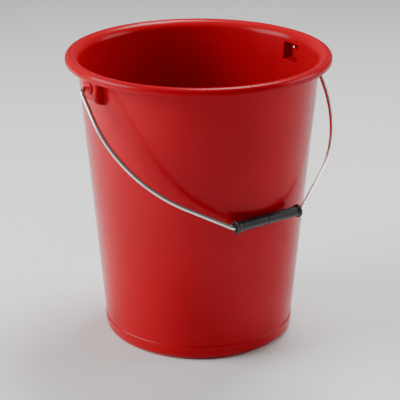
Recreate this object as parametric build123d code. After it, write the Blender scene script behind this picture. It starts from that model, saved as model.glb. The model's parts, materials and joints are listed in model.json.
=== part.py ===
"""A round moulded bucket of about twelve litres, with a swinging wire handle and a turning grip.

Millimetres, +Z up. The origin is on the bucket's axis at floor level. The handle's pivots are at
the two ears on the X axis, and the handle lies down in front of the bucket, on its -Y side.
Three pieces make the whole bucket: the moulding with its two ears, one bent wire, and one grip.
"""
from build123d import *
from math import asin, atan, cos, degrees, hypot, radians, sin, tan
import os

# The moulding: a tapered shell whose rim flares out, rolls over and ends in a short skirt.
HEIGHT = 310.0
RIM_RADIUS = 140.0
CREST_RADIUS = 135.0
FLARE_RADIUS = 10.0
SKIRT_BOTTOM = 302.5
WALL_FOOT_RADIUS = 101.0
WALL = 2.0

# The foot: a thicker band with a rounded lower edge, round a floor that stands clear of the ground.
BAND_TOP = 16.0
BAND_STEP = 0.8
FOOT_EDGE_RADIUS = 8.0
FOOT_RING_WIDTH = 6.0
FLOOR_GAP = 3.0
FLOOR = 2.4
INSIDE_CORNER_RADIUS = 7.0
GATE_MARK_RADIUS = 4.0
GATE_MARK_DEPTH = 0.8

# The two ears: hollow boxes under the rim, open to the inside of the bucket.
PIVOT_HEIGHT = 293.0
EAR_FACE = 135.0
EAR_WIDTH = 27.0
EAR_FACE_BOTTOM = 279.0
EAR_ROOT_BOTTOM = 276.5
EAR_CORNER_RADIUS = 3.0
POCKET_TOP = 297.5
HUB_RADIUS = 6.5
HUB_REACH = 1.5
PIVOT_CLEARANCE = 0.08

# The handle: one length of round wire, bent in one plane.
WIRE_DIAMETER = 4.5
WIRE_HALF_SPAN = 145.0
STUB_END = 127.5
SHOULDER_BEND = 6.0
HANDLE_REACH = 180.0
BOW_RADIUS = 145.0
RUN_IN_ANGLE = 36.5
GRIP_BEND = 5.0
WIRE_END_CHAMFER = 0.6

# The grip: a moulded tube that turns on the wire.
GRIP_LENGTH = 82.0
GRIP_DIAMETER = 10.8
GRIP_FLANGE_DIAMETER = 13.8
GRIP_FLANGE_WIDTH = 3.0
GRIP_FLARE = 1.6
GRIP_RING_DIAMETER = 11.8
GRIP_RING_WIDTH = 2.0
GRIP_RECESS_DIAMETER = 8.6
GRIP_RECESS_DEPTH = 1.6
GRIP_END_GAP = 1.2
GRIP_CLEARANCE = 0.08
GRIP_EDGE_RADIUS = 0.6
REST_GAP = 0.35

FLARE_HEIGHT = HEIGHT - FLARE_RADIUS
WALL_TOP_RADIUS = CREST_RADIUS - FLARE_RADIUS + WALL
ROLL_RADIUS = RIM_RADIUS - CREST_RADIUS
TAPER = (WALL_TOP_RADIUS - WALL_FOOT_RADIUS) / FLARE_HEIGHT
WIRE_RADIUS = WIRE_DIAMETER / 2


def wall_radius(height):
    """Outer radius of the tapered wall at a height."""
    return WALL_FOOT_RADIUS + TAPER * height


def rest_lean():
    """Angle between the hanging handle and straight down, where the grip's ring just clears the wall.

    The ring's axis is HANDLE_REACH from the pivot. Its distance from the wall, measured square to
    the wall, is its own radius and the gap: a sin(lean) + b cos(lean) = c.
    """
    slant = hypot(1, TAPER)
    a = HANDLE_REACH
    b = HANDLE_REACH * TAPER
    c = wall_radius(PIVOT_HEIGHT) + (GRIP_RING_DIAMETER / 2 + REST_GAP) * slant
    return degrees(asin(c / hypot(a, b)) - atan(b / a))


def rim_line(depth):
    """The rim's curve at a depth below its upper skin, from the foot of the flare to the skirt."""
    flare = FLARE_RADIUS - depth
    roll = ROLL_RADIUS - depth
    crest = (CREST_RADIUS, HEIGHT - depth)
    skirt_top = (RIM_RADIUS - depth, HEIGHT - ROLL_RADIUS)
    flare_foot = (CREST_RADIUS - flare, FLARE_HEIGHT)
    return [
        RadiusArc(flare_foot, crest, flare),
        RadiusArc(crest, skirt_top, roll),
        Line(skirt_top, (RIM_RADIUS - depth, SKIRT_BOTTOM)),
    ]


def shell_section():
    """Half section of the moulding without its ears, in the XZ plane."""
    top_skin = rim_line(0)
    under_skin = rim_line(WALL)
    skirt_lip = RadiusArc((RIM_RADIUS, SKIRT_BOTTOM), (RIM_RADIUS - WALL, SKIRT_BOTTOM), WALL / 2)
    floor_top = FLOOR_GAP + FLOOR
    foot_radius = wall_radius(0) + BAND_STEP
    ring_inside = foot_radius - FOOT_EDGE_RADIUS - FOOT_RING_WIDTH
    base = Polyline(
        (WALL_TOP_RADIUS - WALL, FLARE_HEIGHT),
        (wall_radius(floor_top) - WALL, floor_top),
        (0, floor_top),
        (0, FLOOR_GAP),
        (ring_inside - FLOOR_GAP, FLOOR_GAP),
        (ring_inside, 0),
        (foot_radius, 0),
        (wall_radius(BAND_TOP) + BAND_STEP, BAND_TOP),
        (wall_radius(BAND_TOP + BAND_STEP), BAND_TOP + BAND_STEP),
        (WALL_TOP_RADIUS, FLARE_HEIGHT),
    )
    section = make_face(Curve() + top_skin + under_skin + [skirt_lip, base])
    corners = section.vertices()
    foot_edge = corners.filter_by(lambda v: hypot(v.X - foot_radius, v.Y) < 0.01)
    section = fillet(foot_edge, FOOT_EDGE_RADIUS)
    corners = section.vertices()
    inside_edge = corners.filter_by(lambda v: hypot(v.X - wall_radius(floor_top) + WALL, v.Y - floor_top) < 0.01)
    section = fillet(inside_edge, INSIDE_CORNER_RADIUS)
    return Plane.XZ * section


def under_rim():
    """The space outside the middle of the wall and below the middle of the rim, where an ear may be."""
    low = EAR_ROOT_BOTTOM - EAR_WIDTH
    mid_skin = rim_line(WALL / 2)
    outline = Polyline(
        (RIM_RADIUS - WALL / 2, SKIRT_BOTTOM),
        (RIM_RADIUS - WALL / 2, low),
        (wall_radius(low) - WALL / 2, low),
        (WALL_TOP_RADIUS - WALL / 2, FLARE_HEIGHT),
    )
    return revolve(Plane.XZ * make_face(Curve() + mid_skin + [outline]), Axis.Z)


def ear_block(inset, inner, top):
    """A block with a sloping bottom and rounded outer edges, one wall thickness smaller at inset 1."""
    face = EAR_FACE - inset * WALL
    half_width = EAR_WIDTH / 2 - inset * WALL
    slope = (EAR_FACE_BOTTOM - EAR_ROOT_BOTTOM) / (EAR_FACE - wall_radius(EAR_ROOT_BOTTOM))
    face_bottom = EAR_FACE_BOTTOM + inset * WALL
    side = make_face(Polyline(
        (inner, face_bottom - slope * (face - inner)),
        (face, face_bottom),
        (face, top),
        (inner, top),
        close=True,
    ))
    block = extrude(Plane.XZ * side, half_width, both=True)
    outer_edges = block.faces().sort_by(Axis.X)[-1].edges()
    outer_edges = outer_edges.filter_by(lambda e: e.center().Z < top - 1)
    return fillet(outer_edges, EAR_CORNER_RADIUS - inset * WALL / 2)


def bucket_body():
    """The moulding: shell, foot, floor and gate mark, with an ear on each side."""
    body = revolve(shell_section(), Axis.Z)
    gate_mark = Pos(0, 0, FLOOR_GAP) * Cylinder(GATE_MARK_RADIUS, 2 * GATE_MARK_DEPTH)
    body += gate_mark
    root = wall_radius(EAR_ROOT_BOTTOM) - WALL
    ear = ear_block(0, root - WALL, HEIGHT) & under_rim()
    across = Plane.YZ.offset(EAR_FACE - WALL / 2)
    hub = extrude(across * Pos(0, PIVOT_HEIGHT) * Circle(HUB_RADIUS), HUB_REACH + WALL / 2)
    pocket = ear_block(1, root - 2 * WALL, POCKET_TOP)
    hole = extrude(across * Pos(0, PIVOT_HEIGHT) * Circle(WIRE_RADIUS + PIVOT_CLEARANCE), 2 * WALL, both=True)
    for turn in (0, 180):
        body += Rot(0, 0, turn) * (ear + hub)
        body -= Rot(0, 0, turn) * pocket
        body -= Rot(0, 0, turn) * hole
    return body


def wire_path():
    """The handle's centreline, drawn flat: pivots on X, grip at -Y, bent like a wire from end to end.

    Each half is a stub in the ear, a leg, the round bow and a straight run in to the grip.
    """
    slope = radians(RUN_IN_ANGLE)
    bend_length = GRIP_BEND * tan(slope / 2)
    grip_run = GRIP_LENGTH / 2 + GRIP_END_GAP
    bow_end = WIRE_HALF_SPAN - BOW_RADIUS * (1 - sin(slope))
    run_in = (bow_end - grip_run - bend_length) / cos(slope)
    bow_centre = HANDLE_REACH - run_in * sin(slope) - BOW_RADIUS * cos(slope)
    runs = [WIRE_HALF_SPAN - SHOULDER_BEND - STUB_END, bow_centre - SHOULDER_BEND, run_in - bend_length]
    bends = [(SHOULDER_BEND, 90), (BOW_RADIUS, 90 - RUN_IN_ANGLE), (GRIP_BEND, RUN_IN_ANGLE)]
    runs = runs + [2 * grip_run] + runs[::-1]
    bends = bends + bends[::-1]
    print("runs", [round(run, 2) for run in runs])
    point = Vector(-STUB_END, 0)
    heading = Vector(-1, 0)
    edges = []
    for index, run in enumerate(runs):
        line = Line(point, point + heading * run)
        edges.append(line)
        point = line @ 1
        if index < len(bends):
            radius, turn = bends[index]
            arc = JernArc(point, heading, radius, turn)
            edges.append(arc)
            point = arc @ 1
            heading = arc % 1
    return Wire(edges)


def hanging_plane(lean):
    """The handle's plane at rest: X along the pivots, and Y pointing from the grip to the pivots."""
    tilt = radians(lean)
    return Plane(origin=(0, 0, PIVOT_HEIGHT), x_dir=(1, 0, 0), z_dir=(0, -cos(tilt), sin(tilt)))


def bail_wire(plane):
    """The handle's wire, with its two ends chamfered."""
    path = wire_path()
    section = Plane(origin=path @ 0, z_dir=path % 0) * Circle(WIRE_RADIUS)
    wire = sweep(section, path=path)
    ends = wire.faces().filter_by(GeomType.PLANE).edges()
    return plane * chamfer(ends, WIRE_END_CHAMFER)


def handle_grip(plane):
    """The grip: a tube with a flange at each end, a ring in the middle and a bore for the wire."""
    end = GRIP_LENGTH / 2
    bore = WIRE_RADIUS + GRIP_CLEARANCE
    ring_step = (GRIP_RING_DIAMETER - GRIP_DIAMETER) / 2
    half = [
        (GRIP_RECESS_DEPTH - end, bore),
        (GRIP_RECESS_DEPTH - end, GRIP_RECESS_DIAMETER / 2),
        (-end, GRIP_RECESS_DIAMETER / 2),
        (-end, GRIP_FLANGE_DIAMETER / 2),
        (GRIP_FLANGE_WIDTH - end, GRIP_FLANGE_DIAMETER / 2),
        (GRIP_FLANGE_WIDTH + GRIP_FLARE - end, GRIP_DIAMETER / 2),
        (-GRIP_RING_WIDTH / 2 - ring_step, GRIP_DIAMETER / 2),
        (-GRIP_RING_WIDTH / 2, GRIP_RING_DIAMETER / 2),
    ]
    outline = half + [(-x, y) for x, y in half[::-1]]
    section = make_face(Polyline(*outline, close=True))
    flange_corners = section.vertices().filter_by(lambda v: abs(v.Y - GRIP_FLANGE_DIAMETER / 2) < 0.01)
    section = fillet(flange_corners, GRIP_EDGE_RADIUS)
    grip = revolve(section, Axis.X)
    return plane * Pos(0, -HANDLE_REACH, 0) * grip


lean = rest_lean()
rest_plane = hanging_plane(lean)
grip_axis = rest_plane.from_local_coords((0, -HANDLE_REACH, 0))
print("lean", round(lean, 3), "full swing", round(360 - 2 * lean, 3))
print("grip axis", round(grip_axis.Y, 3), round(grip_axis.Z, 3))

parts = {
    "bucket_body": bucket_body(),
    "bail_wire": bail_wire(rest_plane),
    "handle_grip": handle_grip(rest_plane),
}
os.makedirs("parts", exist_ok=True)
for name, part in parts.items():
    export_step(part, "parts/" + name + ".step")
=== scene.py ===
# %% [markdown]
# # A wash bucket
#
# A round plastic bucket is a good first lesson in product modelling, because it has only three
# pieces: one moulding, one bent wire and one grip. Each piece is a surface that a short formula
# can give. The working model, with its hinges, is loaded first and stays where it is. Every finer
# piece made here rides on one of its bodies.

# %% Load the working model
import bmesh
import bpy
import json
import numpy as np
from math import cos, pi, radians, sin, tan
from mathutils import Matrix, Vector


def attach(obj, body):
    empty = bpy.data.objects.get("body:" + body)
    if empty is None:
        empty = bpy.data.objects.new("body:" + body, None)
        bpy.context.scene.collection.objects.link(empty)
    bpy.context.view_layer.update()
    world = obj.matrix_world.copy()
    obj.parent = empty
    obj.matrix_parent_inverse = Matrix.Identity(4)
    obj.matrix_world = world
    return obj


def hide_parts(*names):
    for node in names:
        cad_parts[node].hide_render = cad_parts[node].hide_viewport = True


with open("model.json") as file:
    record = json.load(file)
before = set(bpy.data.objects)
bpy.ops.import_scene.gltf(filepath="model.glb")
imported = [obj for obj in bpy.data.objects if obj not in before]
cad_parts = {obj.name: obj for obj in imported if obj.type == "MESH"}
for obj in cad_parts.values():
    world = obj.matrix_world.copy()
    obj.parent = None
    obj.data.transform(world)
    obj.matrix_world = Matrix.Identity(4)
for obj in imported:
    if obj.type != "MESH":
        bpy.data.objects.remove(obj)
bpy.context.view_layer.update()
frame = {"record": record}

# %% [markdown]
# ## Sizes
#
# The sizes are in millimetres, as on a drawing, and one function turns finished points to metres.
# The outer wall is a cone, so its radius at a height is a straight-line formula.

# %% Sizes of the moulding
MM = 0.001
HEIGHT, RIM_RADIUS, CREST_RADIUS = 310.0, 140.0, 135.0
WALL, FLARE_RADIUS, SKIRT_BOTTOM = 2.0, 10.0, 302.5
FOOT_WALL_RADIUS = 101.0
TAPER = (CREST_RADIUS - FLARE_RADIUS + WALL - FOOT_WALL_RADIUS) / (HEIGHT - FLARE_RADIUS)
BAND_TOP, BAND_STEP, FOOT_EDGE_RADIUS, FOOT_RING_WIDTH = 16.0, 0.8, 8.0, 6.0
FLOOR_GAP, FLOOR, GATE_RADIUS, GATE_DEPTH = 3.0, 2.4, 4.0, 0.8
INSIDE_CORNER_RADIUS = 7.0
PIVOT_HEIGHT, EAR_FACE, EAR_WIDTH = 293.0, 135.0, 27.0
EAR_FACE_BOTTOM, EAR_ROOT_BOTTOM, POCKET_TOP = 279.0, 276.5, 297.5
HUB_RADIUS, HUB_REACH, HOLE_RADIUS = 6.5, 1.5, 2.33


def wall_radius(height):
    """Outer radius of the wall, in millimetres: the radius at the foot plus the taper times the height."""
    return FOOT_WALL_RADIUS + TAPER * height


print("wall radius at the top", wall_radius(HEIGHT - FLARE_RADIUS), "taper", round(TAPER, 4))

# %% [markdown]
# ## Rounded outlines
#
# Nearly every edge of a moulding is rounded, because plastic can't fill a sharp corner. So the one
# tool that everything here uses is an outline of straight runs joined by tangent arcs. An arc of
# radius r in a corner that turns by an angle a starts r tan(a/2) before the corner, and its centre
# is r to the side that the outline turns to. Points on a run crowd towards its ends, by a cosine,
# so that smooth shading stays flat in the middle of the run.


# %% Straight runs joined by tangent arcs
def rounded_outline(corners, radii, run_steps, bend_steps):
    """Points of an outline in a plane: a run for each pair of corners, an arc at each inner corner."""
    corners = np.array(corners, float)
    runs = np.diff(corners, axis=0)
    lengths = np.hypot(runs[:, 0], runs[:, 1])
    ways = runs / lengths[:, None]
    turns = np.arctan2(
        ways[:-1, 0] * ways[1:, 1] - ways[:-1, 1] * ways[1:, 0], (ways[:-1] * ways[1:]).sum(1)
    )
    cuts = np.concatenate([[0], np.abs(np.tan(turns / 2)) * radii, [0]])
    pieces = []
    for index, way in enumerate(ways):
        start = corners[index] + way * cuts[index]
        end = corners[index + 1] - way * cuts[index + 1]
        share = (1 - np.cos(np.linspace(0, pi, run_steps[index] + 1))) / 2
        pieces.append((start + (end - start) * share[:, None])[:-1])
        if index < len(turns):
            side = np.array([-way[1], way[0]]) * np.sign(turns[index])
            angles = np.linspace(0, abs(turns[index]), bend_steps[index] + 1)[:-1, None]
            arc = end + radii[index] * (side * (1 - np.cos(angles)) + way * np.sin(angles))
            pieces.append(arc)
    return np.vstack(pieces + [corners[-1:]])


# %% [markdown]
# ## From arrays to meshes
#
# A surface is worked out as a grid: an array with rows along one parameter and columns along the
# other. Its faces are then the same for every grid, so one function numbers them, and another puts
# points and faces into a mesh. Recalculating the normals of a closed surface makes them all point
# outwards.


# %% Grid faces, fans and the mesh maker
def grid_faces(rows, columns, wrap):
    """Four corner numbers for each cell of a grid of points; a wrapped grid closes on itself."""
    row = np.arange(rows - 1)[:, None] * columns
    column = np.arange(columns if wrap else columns - 1)[None, :]
    after = (column + 1) % columns
    quads = np.stack([row + column, row + after, row + columns + after, row + columns + column], -1)
    return quads


def fan_faces(ring, centre):
    """Triangles from a closed ring of point numbers to one centre point."""
    ring = np.asarray(ring)
    return np.stack([ring, np.roll(ring, -1), np.full(len(ring), centre)], -1)


def make_piece(name, points, faces, body, replaced, uv=None):
    """A smooth closed mesh in the frame, riding on a body in place of the working node."""
    mesh = bpy.data.meshes.new(name)
    mesh.from_pydata((np.asarray(points) * MM).tolist(), [], [list(face) for face in faces])
    mesh.validate()
    shell = bmesh.new()
    shell.from_mesh(mesh)
    bmesh.ops.recalc_face_normals(shell, faces=shell.faces)
    open_edges = sum(not edge.is_manifold for edge in shell.edges)
    volume = shell.calc_volume(signed=True)
    shell.to_mesh(mesh)
    shell.free()
    mesh.polygons.foreach_set("use_smooth", np.ones(len(mesh.polygons), bool))
    if uv is not None:
        layer = mesh.uv_layers.new(name="along_and_round")
        corner_points = np.zeros(len(mesh.loops), int)
        mesh.loops.foreach_get("vertex_index", corner_points)
        starts = np.zeros(len(mesh.polygons), int)
        mesh.polygons.foreach_get("loop_start", starts)
        corner_uv = uv[corner_points]
        highest = np.maximum.reduceat(corner_uv[:, 1], starts)
        highest = np.repeat(highest, np.diff(np.append(starts, len(corner_uv))))
        corner_uv[corner_uv[:, 1] < highest - 0.5, 1] += 1
        layer.data.foreach_set("uv", corner_uv.astype(np.float32).ravel())
    piece = bpy.data.objects.new(name, mesh)
    bpy.context.scene.collection.objects.link(piece)
    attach(piece, body)
    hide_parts(replaced)
    print(name, len(mesh.polygons), "faces,", open_edges, "open edges,", round(volume * 1e6, 2), "cm3")
    return piece


# %% [markdown]
# ## The moulding's rows
#
# The bucket is a section carried round its axis. The section starts under the middle of the floor,
# goes out to the foot, up the outside, over the rim and down the inside to the middle of the floor.
# Each point of the section is a row of the grid. The rows crowd near the ears, where the wall has
# to bulge out into a hollow box.

# %% The section, in five stretches
EAR_ZONE = 272.0
PATCH_CELLS = 12
HUB_PATCH = 7.2
POCKET_PATCH = 4.0
band_foot = wall_radius(0) + BAND_STEP
ring_inside = band_foot - FOOT_EDGE_RADIUS - FOOT_RING_WIDTH
floor_top = FLOOR_GAP + FLOOR
wall_start = 2 * BAND_TOP
outer_top = PIVOT_HEIGHT + HUB_PATCH
inner_top = HEIGHT - FLARE_RADIUS

underside = rounded_outline(
    [(0.6, FLOOR_GAP - GATE_DEPTH), (GATE_RADIUS, FLOOR_GAP - GATE_DEPTH), (GATE_RADIUS, FLOOR_GAP),
     (ring_inside - FLOOR_GAP, FLOOR_GAP), (ring_inside, 0), (band_foot, 0),
     (wall_radius(BAND_TOP) + BAND_STEP, BAND_TOP),
     (wall_radius(BAND_TOP + BAND_STEP), BAND_TOP + BAND_STEP),
     (wall_radius(wall_start), wall_start)],
    [0.3, 0.3, 1.5, 0.8, FOOT_EDGE_RADIUS, 0.4, 0.4],
    [3, 2, 14, 3, 3, 4, 2, 4], [3, 3, 4, 4, 12, 4, 4])
rim = rounded_outline(
    [(wall_radius(outer_top), outer_top), (wall_radius(HEIGHT - WALL), HEIGHT - WALL),
     (RIM_RADIUS - WALL, HEIGHT - WALL), (RIM_RADIUS - WALL, SKIRT_BOTTOM - WALL / 2),
     (RIM_RADIUS, SKIRT_BOTTOM - WALL / 2), (RIM_RADIUS, HEIGHT),
     (wall_radius(HEIGHT) - WALL, HEIGHT), (wall_radius(inner_top) - WALL, inner_top)],
    [FLARE_RADIUS - WALL, 3.0, 0.95, 0.95, RIM_RADIUS - CREST_RADIUS, FLARE_RADIUS],
    [1, 2, 2, 1, 2, 2, 1], [12, 7, 6, 6, 12, 14])
inside_floor = rounded_outline(
    [(wall_radius(wall_start) - WALL, wall_start), (wall_radius(floor_top) - WALL, floor_top),
     (0.6, floor_top)],
    [INSIDE_CORNER_RADIUS], [5, 24], [10])
print("rows:", len(underside), len(rim), len(inside_floor))

# %% [markdown]
# ## The ears
#
# An ear is a hollow box: the wall steps out under the rim and comes back, so it shows as a box
# outside and as a pocket inside. On a grid this is one product. Each row has a lift between 0 and
# 1, each column has another, and the point moves out along X by the product of the two times its
# distance from the ear's face. Both lifts are themselves rounded outlines, so every edge is rounded.

# %% Rows near the ears, outside and inside
ear_depth = EAR_FACE - wall_radius(EAR_FACE_BOTTOM)
low_rows = (1 - np.cos(np.linspace(0, pi, 25))) / 2 * (EAR_ZONE - wall_start) + wall_start
ear_bottom = rounded_outline(
    [(EAR_ZONE, 0), (EAR_ROOT_BOTTOM, 0), (EAR_FACE_BOTTOM, ear_depth),
     (PIVOT_HEIGHT - HUB_PATCH, ear_depth)],
    [1.2, 3.0], [3, 4, 4], [5, 6])
pocket_ceiling = rounded_outline(
    [(inner_top, 0), (POCKET_TOP + 0.3, 0), (POCKET_TOP, ear_depth),
     (PIVOT_HEIGHT + POCKET_PATCH, ear_depth)],
    [0.5, 0.4], [3, 4, 1], [4, 4])
pocket_floor = rounded_outline(
    [(PIVOT_HEIGHT - POCKET_PATCH, ear_depth), (EAR_FACE_BOTTOM + WALL, ear_depth),
     (EAR_ROOT_BOTTOM + WALL, 0), (EAR_ZONE, 0)],
    [1.5, 0.8], [5, 4, 4], [5, 4])
hub_rows = np.linspace(PIVOT_HEIGHT - HUB_PATCH, outer_top, PATCH_CELLS + 1)
hole_rows = np.linspace(PIVOT_HEIGHT + POCKET_PATCH, PIVOT_HEIGHT - POCKET_PATCH, PATCH_CELLS + 1)
outer_rows = np.concatenate([low_rows[1:-1], ear_bottom[:, 0], hub_rows[1:-1]])
inner_rows = np.concatenate([
    pocket_ceiling[1:, 0], hole_rows[1:-1], pocket_floor[:, 0], low_rows[::-1][1:-1]])
outer_lift = np.concatenate([0 * low_rows[1:-1], ear_bottom[:, 1] / ear_depth, 0 * hub_rows[1:-1] + 1])
inner_lift = np.concatenate([
    pocket_ceiling[1:, 1] / ear_depth, 0 * hole_rows[1:-1] + 1, pocket_floor[:, 1] / ear_depth,
    0 * low_rows[1:-1]])

# %% All the rows, with the lift of each
row_radius = np.concatenate([
    underside[:, 0], wall_radius(outer_rows), rim[:, 0], wall_radius(inner_rows) - WALL, inside_floor[:, 0]])
row_height = np.concatenate([underside[:, 1], outer_rows, rim[:, 1], inner_rows, inside_floor[:, 1]])
first_outer = len(underside)
first_rim = first_outer + len(outer_rows)
first_inner = first_rim + len(rim)
first_floor = first_inner + len(inner_rows)
under_rim = np.arange(len(rim)) < np.argmax(rim[:, 0] >= RIM_RADIUS - WALL - 0.01)
row_ear = np.zeros(len(row_radius))
row_ear[first_outer:first_rim] = outer_lift
row_ear[first_rim:first_inner] = under_rim
row_pocket = np.zeros(len(row_radius))
row_pocket[first_inner:first_floor] = inner_lift
print("rows:", len(row_radius), "columns next")

# %% [markdown]
# The columns crowd at the ears' sides in the same way. Away from the ears they spread out evenly,
# and each row says how much of each spacing it uses, by its distance along the section.

# %% The columns of half a turn, with an ear in the middle
EAR_REACH = 20.0
EVEN_ROWS, EAR_ROWS = 16, 24
patch_half = np.linspace(0, HUB_PATCH, PATCH_CELLS // 2 + 1)[:-1]
ear_side = rounded_outline(
    [(HUB_PATCH, ear_depth), (EAR_WIDTH / 2 - 0.3, ear_depth), (EAR_WIDTH / 2 + 0.1, 0), (EAR_REACH, 0)],
    [3.0, 1.2], [3, 4, 5], [6, 5])
pocket_side = rounded_outline(
    [(HUB_PATCH, ear_depth), (EAR_WIDTH / 2 - WALL - 0.2, ear_depth),
     (EAR_WIDTH / 2 - WALL + 0.1, 0), (EAR_REACH, 0)],
    [1.4, 0.8], [3, 4, 5], [6, 5])
ear_edge = np.arcsin(EAR_REACH / wall_radius(HEIGHT))
rest_angles = np.linspace(ear_edge, pi / 2, 38)[1:]


def mirrored(half, sign):
    """A full run of columns from its half at positive y: the same values on the other side, times sign."""
    return np.concatenate([sign * half[::-1][:-1], half])


ear_y = mirrored(np.concatenate([patch_half, ear_side[:, 0]]), -1)
ear_column = mirrored(np.concatenate([0 * patch_half + 1, ear_side[:, 1] / ear_depth]), 1)
pocket_y = mirrored(np.concatenate([patch_half, pocket_side[:, 0]]), -1)
pocket_column = mirrored(np.concatenate([0 * patch_half + 1, pocket_side[:, 1] / ear_depth]), 1)
even_angle = np.linspace(-ear_edge, ear_edge, len(ear_y))

run = np.concatenate([[0], np.cumsum(np.hypot(np.diff(row_radius), np.diff(row_height)))])
skirt_row = first_rim + int(under_rim.sum())
crest_row = first_rim + int(np.argmax(rim[:, 1]))
outer_marks = run[[first_outer + EVEN_ROWS, first_outer + EAR_ROWS - 1, skirt_row, crest_row]]
inner_marks = run[[crest_row, first_inner, first_floor - EAR_ROWS, first_floor - EVEN_ROWS]]
ear_share = np.interp(run, outer_marks, [0, 1, 1, 0])[:, None]
pocket_share = np.interp(run, inner_marks, [0, 1, 1, 0])[:, None]
ear_angle = np.arcsin(np.clip(ear_y / row_radius[:, None], -1, 1))
pocket_angle = np.arcsin(np.clip(pocket_y / row_radius[:, None], -1, 1))
angle = (1 - ear_share - pocket_share) * even_angle + ear_share * ear_angle + pocket_share * pocket_angle
print("columns near an ear:", angle.shape[1], "beside it:", 2 * len(rest_angles) - 1)

# %% The grid of half a turn, and its copy turned by half a turn
side = np.broadcast_to(rest_angles, (len(run), len(rest_angles)))
half_angle = np.hstack([-side[:, ::-1], angle, side[:, :-1]])
plain = np.zeros(len(rest_angles))
column_ear = np.concatenate([plain, ear_column, plain[:-1]])
column_pocket = np.concatenate([plain, pocket_column, plain[:-1]])
x = row_radius[:, None] * np.cos(half_angle)
y = row_radius[:, None] * np.sin(half_angle)
out = row_ear[:, None] * column_ear * np.maximum(EAR_FACE - x, 0)
out += row_pocket[:, None] * column_pocket * np.maximum(EAR_FACE - WALL - x, 0)
x = x + out
z = np.broadcast_to(row_height[:, None], x.shape)
half_columns = x.shape[1]
grid = np.stack([np.hstack([x, -x]), np.hstack([y, -y]), np.hstack([z, z])], -1)
print("grid of", grid.shape[0], "rows by", grid.shape[1], "columns")

# %% [markdown]
# ## The hinge holes
#
# The wire turns in a hole through each ear's outer face, inside a short round hub. A patch of cells
# is left out of the grid on both skins of the face. Rings of points then lead from the square edge
# of the outer patch over the hub, through the hole and out to the edge of the inner patch, so the
# moulding stays one closed surface.

# %% Patches, hubs and the finished moulding
hub_section = rounded_outline(
    [(HUB_RADIUS + 0.5, EAR_FACE), (HUB_RADIUS, EAR_FACE), (HUB_RADIUS - 0.15, EAR_FACE + HUB_REACH),
     (HOLE_RADIUS, EAR_FACE + HUB_REACH), (HOLE_RADIUS, EAR_FACE - WALL),
     (HOLE_RADIUS + 0.6, EAR_FACE - WALL)],
    [0.4, 0.45, 0.35, 0.25], [1, 2, 3, 3, 1], [4, 5, 4, 3])
around = np.radians(-135 + 360 * np.arange(4 * PATCH_CELLS) / (4 * PATCH_CELLS))


def patch_edge(rows, columns):
    """Point numbers round a square patch of the grid, from its lowest corner towards +y."""
    rows, columns = np.asarray(rows), np.asarray(columns)
    numbers = rows[:, None] * grid.shape[1] + columns
    return np.concatenate([numbers[0, :-1], numbers[:-1, -1], numbers[-1, :0:-1], numbers[:0:-1, 0]])


def build_moulding():
    """The whole bucket body as one closed mesh."""
    centre = len(rest_angles) + len(ear_y) // 2
    patch_columns = np.arange(centre - PATCH_CELLS // 2, centre + PATCH_CELLS // 2 + 1)
    hub_first = first_rim - PATCH_CELLS
    hole_first = first_inner + len(pocket_ceiling) - 2
    quads = grid_faces(grid.shape[0], grid.shape[1], True)
    keep = np.ones(quads.shape[:2], bool)
    points = [grid.reshape(-1, 3)]
    count = grid.shape[0] * grid.shape[1]
    loft = []
    for turn in (0, 1):
        columns = patch_columns + turn * half_columns
        sign = 1 - 2 * turn
        keep[hub_first:hub_first + PATCH_CELLS, columns[:-1]] = False
        keep[hole_first:hole_first + PATCH_CELLS, columns[:-1]] = False
        rings = [patch_edge(np.arange(hub_first, hub_first + PATCH_CELLS + 1), columns)]
        for radius, reach in hub_section:
            ring = np.stack([
                np.full(len(around), sign * reach), sign * radius * np.cos(around),
                PIVOT_HEIGHT + radius * np.sin(around)], -1)
            points.append(ring)
            rings.append(count + np.arange(len(around)))
            count += len(around)
        rings.append(patch_edge(np.arange(hole_first + PATCH_CELLS, hole_first - 1, -1), columns))
        for first, second in zip(rings[:-1], rings[1:]):
            loft.append(np.stack([first, np.roll(first, -1), np.roll(second, -1), second], -1))
    columns = np.arange(grid.shape[1])
    last_row = (grid.shape[0] - 1) * grid.shape[1] + columns
    points.append([[0, 0, row_height[0]], [0, 0, row_height[-1]]])
    faces = quads[keep].tolist() + np.vstack(loft).tolist()
    faces += fan_faces(columns, count).tolist() + fan_faces(last_row, count + 1).tolist()
    return np.vstack(points), faces


moulding_points, moulding_faces = build_moulding()
moulding = make_piece(
    "bucket_moulding", moulding_points, moulding_faces, "bucket", "bucket_body")

# %% [markdown]
# ## The wire
#
# The handle is one wire bent in one plane: a stub in each ear, a round bow, and a straight run in
# to the grip. Eight corners and six bend radii are the whole drawing. A circle carried along that
# centreline makes the wire. At each point the circle lies across the wire, between the direction
# square to it in the plane and the plane's own normal. Each point also keeps its distance along
# the wire and round it, so that the drawn metal's fine lines can follow the bends.

# %% The handle's plane, from the hinge and the grip's axis
WIRE_RADIUS, HALF_SPAN, STUB_END, REACH = 2.25, 145.0, 127.5, 180.0
SHOULDER_BEND, BOW_RADIUS, GRIP_BEND, RUN_IN_ANGLE = 6.0, 145.0, 5.0, radians(36.5)
GRIP_LENGTH, GRIP_END_GAP = 82.0, 1.2
joints = {joint["name"]: joint for joint in frame["record"]["behaviour"]["joints"]}
pivot = np.array(joints["bail_swing"]["pos_m"]) / MM
grip_axis = np.array(joints["grip_spin"]["pos_m"]) / MM
hang = (grip_axis - pivot) / np.linalg.norm(grip_axis - pivot)
across = np.cross([1, 0, 0], hang)
print("the handle hangs along", hang.round(4))


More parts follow.
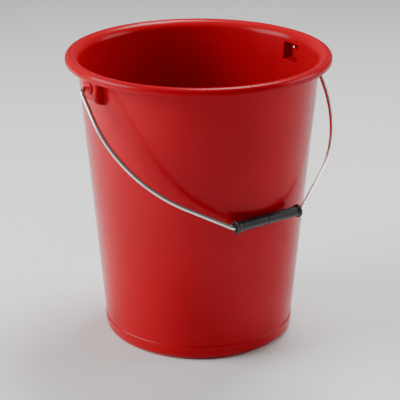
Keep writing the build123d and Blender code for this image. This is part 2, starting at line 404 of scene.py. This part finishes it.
def tube_frame(centreline):
    """The direction square to a flat centreline at each of its points, turned left from its tangent."""
    steps = np.diff(centreline, axis=0)
    steps /= np.linalg.norm(steps, axis=1)[:, None]
    tangent = np.vstack([steps[:1], steps[:-1] + steps[1:], steps[-1:]])
    tangent /= np.linalg.norm(tangent, axis=1)[:, None]
    return np.stack([-tangent[:, 1], tangent[:, 0]], -1)


# %% Bend the wire and carry a circle along it
grip_corner = GRIP_LENGTH / 2 + GRIP_END_GAP + GRIP_BEND * tan(RUN_IN_ANGLE / 2)
bow_corner = REACH - (HALF_SPAN - grip_corner) * tan(RUN_IN_ANGLE)
half_wire = [(-STUB_END, 0), (-HALF_SPAN, 0), (-HALF_SPAN, bow_corner), (-grip_corner, REACH)]
centreline = rounded_outline(
    half_wire + [(-s, t) for s, t in half_wire[::-1]],
    [SHOULDER_BEND, BOW_RADIUS, GRIP_BEND, GRIP_BEND, BOW_RADIUS, SHOULDER_BEND],
    [10, 14, 24, 16, 24, 14, 10], [18, 72, 12, 12, 72, 18])
WIRE_SIDES = 32
distance = np.concatenate([[0], np.cumsum(np.linalg.norm(np.diff(centreline, axis=0), axis=1))])
from_end = np.minimum(distance, distance[-1] - distance)
radius = np.interp(from_end, [0, 0.2, 0.7], [WIRE_RADIUS - 0.6, WIRE_RADIUS - 0.35, WIRE_RADIUS])
normal = tube_frame(centreline)
turn = 2 * pi * np.arange(WIRE_SIDES) / WIRE_SIDES
flat = centreline[:, None] + (radius[:, None] * np.cos(turn))[..., None] * normal[:, None]
lift = radius[:, None] * np.sin(turn)
wire_grid = pivot + flat[..., :1] * np.array([1, 0, 0]) + flat[..., 1:] * hang + lift[..., None] * across
rings = len(centreline)
wire_points = np.vstack([wire_grid.reshape(-1, 3), wire_grid[0].mean(0), wire_grid[-1].mean(0)])
ends = np.arange(WIRE_SIDES)
wire_faces = grid_faces(rings, WIRE_SIDES, True).reshape(-1, 4).tolist()
wire_faces += fan_faces(ends, rings * WIRE_SIDES).tolist()
wire_faces += fan_faces((rings - 1) * WIRE_SIDES + ends, rings * WIRE_SIDES + 1).tolist()
wire_uv = np.stack(np.broadcast_arrays(distance[:, None] * MM, turn / (2 * pi)), -1).reshape(-1, 2)
wire_uv = np.vstack([wire_uv, [0, 0.5], [distance[-1] * MM, 0.5]])
wire = make_piece("handle_wire", wire_points, wire_faces, "bail", "bail_wire", wire_uv)
print("wire length", round(distance[-1], 1), "mm")

# %% [markdown]
# ## The grip
#
# The grip is turned: its section is carried round its own axis, which the grip's hinge gives. The
# section is closed, because the grip is a tube, and both ways of the grid wrap. Two fine raised
# lines along it are where the mould's halves met. They are a bell curve of the angle, added to the
# radius of the outer skin only.

# %% Turn the grip
GRIP_RADIUS, FLANGE_RADIUS, RING_RADIUS, BORE_RADIUS, RECESS_RADIUS = 5.4, 6.9, 5.9, 2.33, 4.3
FLANGE_WIDTH, FLARE, RECESS_DEPTH = 3.0, 1.6, 1.6
GRIP_COLUMNS = 128
end = GRIP_LENGTH / 2
half_section = [
    (0, BORE_RADIUS), (RECESS_DEPTH - end, BORE_RADIUS), (RECESS_DEPTH - end, RECESS_RADIUS),
    (-end, RECESS_RADIUS), (-end, FLANGE_RADIUS), (FLANGE_WIDTH - end, FLANGE_RADIUS),
    (FLANGE_WIDTH + FLARE - end, GRIP_RADIUS), (-1.6, GRIP_RADIUS), (-1.0, RING_RADIUS)]
half_radii = [0.3, 0.3, 0.35, 0.9, 0.8, 1.0, 0.5, 0.4]
section = rounded_outline(
    half_section + [(-along, rise) for along, rise in half_section[::-1]],
    half_radii + half_radii[::-1],
    [8, 2, 2, 2, 2, 2, 20, 2, 2, 2, 20, 2, 2, 2, 2, 2, 8],
    [3, 3, 3, 8, 6, 6, 4, 4, 4, 4, 6, 6, 8, 3, 3, 3])[:-1]
turn = 2 * pi * np.arange(GRIP_COLUMNS) / GRIP_COLUMNS
from_line = np.abs(np.angle(np.exp(2j * turn))) / 2
flash = 0.07 * np.exp(-((from_line * GRIP_RADIUS / 0.3) ** 2)) * (section[:, 1:] > RECESS_RADIUS + 0.4)
grip_radius = section[:, 1:] + flash
grip_grid = grip_axis + np.stack([
    np.broadcast_to(section[:, :1], grip_radius.shape), grip_radius * np.cos(turn),
    grip_radius * np.sin(turn)], -1)
rows = len(section)
grip_faces = grid_faces(rows + 1, GRIP_COLUMNS, True).reshape(-1, 4) % (rows * GRIP_COLUMNS)
grip = make_piece(
    "handle_grip_tube", grip_grid.reshape(-1, 3), grip_faces.tolist(), "grip", "handle_grip")

# %% [markdown]
# ## Finishes
#
# A finish is worked out at each point from its place on the piece. Two small helpers keep that
# readable. Field wraps a value that changes over the surface, so ordinary Python sums add Math
# nodes. Finish makes a material and adds any other node by its type, settings and inputs.


# %% Fields and finishes
class Field:
    """A value over the surface. Sums and products of fields add Math nodes."""

    def __init__(self, finish, socket):
        self.finish = finish
        self.socket = socket

    def math(self, operation, *values):
        return self.finish.node("ShaderNodeMath", {"operation": operation}, values)

    def __add__(self, other):
        return self.math("ADD", self, other)

    def __sub__(self, other):
        return self.math("SUBTRACT", self, other)

    def __rsub__(self, other):
        return self.math("SUBTRACT", other, self)

    def __mul__(self, other):
        return self.math("MULTIPLY", self, other)

    def __abs__(self):
        return self.math("ABSOLUTE", self)

    __radd__ = __add__
    __rmul__ = __mul__


class Finish:
    """A material under construction, with its Principled shader and its nodes."""

    def __init__(self, name, **constants):
        self.material = bpy.data.materials.new(name)
        self.material.use_nodes = True
        self.tree = self.material.node_tree
        self.shader = self.tree.nodes["Principled BSDF"]
        for socket, value in constants.items():
            self.shader.inputs[socket.replace("_", " ")].default_value = value

    def node(self, kind, settings=(), values=(), output=0):
        """Adds a node: settings first, then values by socket name or in order. Returns one output."""
        node = self.tree.nodes.new(kind)
        for key, setting in dict(settings).items():
            setattr(node, key, setting)
        named = values.items() if isinstance(values, dict) else enumerate(values)
        for key, value in named:
            if isinstance(value, Field):
                self.tree.links.new(value.socket, node.inputs[key])
            else:
                node.inputs[key].default_value = value
        return Field(self, node.outputs[output])

    def place(self, scale=(1, 1, 1), source="Object"):
        """Places on the piece, in metres times the scale; or its own map, along and round."""
        at = self.node("ShaderNodeTexCoord", output=source)
        return self.node("ShaderNodeMapping", {"vector_type": "POINT"}, {"Vector": at, "Scale": scale})

    def height(self):
        """Height above the ground, in millimetres."""
        at = self.node("ShaderNodeTexCoord", output="Object")
        return self.node("ShaderNodeSeparateXYZ", (), [at], output=2) * (1 / MM)

    def noise(self, at, scale, detail=3.0, rough=0.5):
        """Smooth noise from 0 to 1, with its spots about 1 / scale across."""
        values = {"Vector": at, "Scale": scale, "Detail": detail, "Roughness": rough}
        return self.node("ShaderNodeTexNoise", {"normalize": True}, values)

    def ramp(self, value, low, high, start=0.0, finish=1.0):
        """A smooth step from start to finish as the value goes from low to high."""
        values = {"Value": value, "From Min": low, "From Max": high, "To Min": start, "To Max": finish}
        return self.node("ShaderNodeMapRange", {"interpolation_type": "SMOOTHSTEP", "clamp": True}, values)

    def mix(self, share, first, second):
        """A colour between two, as a share of the second."""
        first, second = (c if isinstance(c, Field) else (*c, 1) for c in (first, second))
        values = {"Factor": share, 6: first, 7: second}
        return self.node("ShaderNodeMix", {"data_type": "RGBA"}, values, output=2)

    def bump(self, height, distance, strength=1.0, under=None):
        """Turns a height field into a tilted normal; a bump may lie on another."""
        values = {"Height": height, "Distance": distance, "Strength": strength}
        if under is not None:
            values["Normal"] = under
        return self.node("ShaderNodeBump", (), values)

    def feed(self, piece, **fields):
        """Links fields to the shader and puts the material on the piece."""
        for socket, field in fields.items():
            self.tree.links.new(field.socket, self.shader.inputs[socket.replace("_", " ")])
        piece.data.materials.clear()
        piece.data.materials.append(self.material)


# %% [markdown]
# ### The red moulding
#
# The bucket is glossy polypropylene with the colour all through. Under a soft light its gloss is
# broken up by three small things: a fine orange peel from the mould, faint marks along the wall
# where it was pulled off the core, and rubbing on the foot ring, where it stands and slides.

# %% Finish of the moulding
RED, DEEP_RED, RUBBED_RED = (0.46, 0.0012, 0.0105), (0.40, 0.0010, 0.0095), (0.50, 0.035, 0.045)
moulded = Finish("red_moulded_plastic", Specular_IOR_Level=0.13, IOR=1.49)
place = moulded.place()
peel = moulded.noise(place, 950.0, 2.0)
drag = moulded.noise(moulded.place((620, 620, 9)), 1.0, 3.0, 0.6)
cloud = moulded.noise(place, 9.0, 2.0)
smear = moulded.noise(place, 45.0, 4.0, 0.65)
rub = moulded.ramp(moulded.height(), 1.6, 0.0) * moulded.ramp(smear, 0.35, 0.6)
colour = moulded.mix(moulded.ramp(cloud, 0.3, 0.7), RED, DEEP_RED)
colour = moulded.mix(rub * 0.5, colour, RUBBED_RED)
gloss = 0.2 + 0.05 * moulded.ramp(smear, 0.3, 0.75) + 0.03 * peel + 0.25 * rub
skin = moulded.bump(drag, 0.00002, 0.5)
skin = moulded.bump(peel, 0.00002, 0.6, skin)
moulded.feed(moulding, Base_Color=colour, Roughness=gloss, Normal=skin)
print("red plastic uses", len(moulded.tree.nodes), "nodes")

# %% [markdown]
# ### The plated wire
#
# The wire was drawn through a die and then plated, so it is a bright metal with fine lines along
# it. Its own map gives the place along the wire and round it, and noise that is stretched along
# the wire makes the lines. The plating is duller in the hinges and beside the grip, where it rubs.

# %% Finish of the wire
plated = Finish("bright_plated_wire", Metallic=1.0)
lines = plated.noise(plated.place((14, 34, 1), "UV"), 1.0, 3.0, 0.6)
patches = plated.noise(plated.place(), 120.0, 3.0)
along = plated.node("ShaderNodeSeparateXYZ", (), [plated.place((1 / MM, 1, 1), "UV")], output=0)
middle = distance[-1] / 2
from_middle = abs(along - middle)
worn = plated.ramp(from_middle, GRIP_LENGTH / 2 + 4, GRIP_LENGTH / 2)
worn = worn + plated.ramp(from_middle, middle - HALF_SPAN + EAR_FACE - 6, middle - 8)
colour = plated.mix(plated.ramp(patches, 0.35, 0.7), (0.80, 0.79, 0.77), (0.70, 0.69, 0.67))
gloss = 0.13 + 0.07 * lines + 0.05 * plated.ramp(patches, 0.4, 0.7) + 0.12 * worn
plated.feed(wire, Base_Color=colour, Roughness=gloss, Normal=plated.bump(lines, 0.00002, 0.5))
print("plated wire uses", len(plated.tree.nodes), "nodes")

# %% [markdown]
# ### The black grip
#
# The grip is soft black plastic with a sparked, slightly rough mould skin. Hands polish what
# stands out, so its flanges and middle ring are a little smoother than the tube between them.

# %% Finish of the grip
black = Finish("black_moulded_grip", Specular_IOR_Level=0.5)
sparked = black.noise(black.place(), 1800.0, 3.0, 0.6)
handled = black.noise(black.place(), 70.0, 3.0)
offset = black.node("ShaderNodeVectorMath", {"operation": "SUBTRACT"}, [black.place(), tuple(grip_axis * MM)])
offset = black.node("ShaderNodeVectorMath", {"operation": "MULTIPLY"}, [offset, (0, 1, 1)])
from_axis = black.node("ShaderNodeVectorMath", {"operation": "LENGTH"}, [offset], output=1) * (1 / MM)
proud = black.ramp(from_axis, GRIP_RADIUS + 0.2, RING_RADIUS)
colour = black.mix(black.ramp(handled, 0.35, 0.7), (0.0075, 0.0085, 0.0095), (0.012, 0.0125, 0.013))
gloss = 0.36 + 0.08 * sparked - 0.06 * proud + 0.05 * black.ramp(handled, 0.4, 0.7)
black.feed(grip, Base_Color=colour, Roughness=gloss, Normal=black.bump(sparked, 0.00003, 0.5))
print("black grip uses", len(black.tree.nodes), "nodes")

# %% [markdown]
# ## Floor, light and camera
#
# The bucket stands on a plain pale floor that is much wider than any view. The light is a soft
# overhead panel from behind on the right, a broad panel on the left and a weaker one on the right.
# The side towards the camera stays dim, so that both flanks of the round wall brighten.

# %% The floor
FLOOR_HALF = 14.0
floor_mesh = bpy.data.meshes.new("studio_floor")
corners = [(x * FLOOR_HALF, y * FLOOR_HALF, 0) for x, y in ((-1, -1), (1, -1), (1, 1), (-1, 1))]
floor_mesh.from_pydata(corners, [], [(0, 1, 2, 3)])
floor = bpy.data.objects.new("studio_floor", floor_mesh)
bpy.context.scene.collection.objects.link(floor)
pale = Finish("pale_studio_floor", Specular_IOR_Level=0.1, Roughness=0.8)
grain = pale.noise(pale.place(), 60.0, 4.0)
pale.feed(floor, Base_Color=pale.mix(grain, (0.83, 0.83, 0.83), (0.87, 0.87, 0.87)))

# %% Directions about the camera
CAMERA_TURN, CAMERA_RISE = radians(35.5), 20.67
CAMERA_DISTANCE, LENS, SENSOR = 1.666, 138.6, 36.0
towards = Vector((-sin(CAMERA_TURN), -cos(CAMERA_TURN), 0))
to_right = Vector((cos(CAMERA_TURN), -sin(CAMERA_TURN), 0))
MIDDLE = Vector((0, 0, 0.155))


def around_camera(side, rise, reach):
    """A place at a reach from the bucket's middle, turned side degrees to the right and rise up."""
    flat = towards * cos(radians(side)) + to_right * sin(radians(side))
    return MIDDLE + reach * (flat * cos(radians(rise)) + Vector((0, 0, sin(radians(rise)))))


# %% The camera
camera = bpy.data.objects.new("camera", bpy.data.cameras.new("camera"))
camera.data.sensor_width, camera.data.lens = SENSOR, LENS
camera.location = around_camera(0, CAMERA_RISE, CAMERA_DISTANCE)
aim = Vector((0, 0, 0.1426)) + 0.0015 * to_right
camera.rotation_euler = (aim - camera.location).to_track_quat("-Z", "Y").to_euler()
bpy.context.scene.collection.objects.link(camera)
bpy.context.scene.camera = camera
print("camera at", camera.location)


# %% Light panels
def light_panel(name, side, rise, reach, size, radiance):
    """A square lamp that faces the bucket. Its power in watts is pi times its radiance times its area."""
    lamp = bpy.data.lights.new(name, "AREA")
    lamp.shape, lamp.size = "SQUARE", size
    lamp.energy = pi * radiance * size * size
    panel = bpy.data.objects.new(name, lamp)
    panel.location = around_camera(side, rise, reach)
    panel.rotation_euler = (MIDDLE - panel.location).to_track_quat("-Z", "Y").to_euler()
    panel.visible_camera = False
    bpy.context.scene.collection.objects.link(panel)
    return panel


light_panel("overhead_panel", 150, 68, 1.7, 0.7, 22)
light_panel("left_panel", -80, 25, 1.5, 1.0, 10)
light_panel("right_panel", 95, 20, 1.6, 0.9, 4)

# %% The pale room
world = bpy.data.worlds.new("pale_room")
bpy.context.scene.world = world
world.use_nodes = True
room = world.node_tree.nodes
dim = room["Background"]
dim.inputs["Color"].default_value = (1, 1, 1, 1)
dim.inputs["Strength"].default_value = 0.15
seen = room.new("ShaderNodeBackground")
seen.inputs["Color"].default_value = (1, 1, 1, 1)
choice = room.new("ShaderNodeMixShader")
links = world.node_tree.links
links.new(room.new("ShaderNodeLightPath").outputs["Is Camera Ray"], choice.inputs[0])
links.new(dim.outputs[0], choice.inputs[1])
links.new(seen.outputs[0], choice.inputs[2])
links.new(choice.outputs[0], room["World Output"].inputs["Surface"])
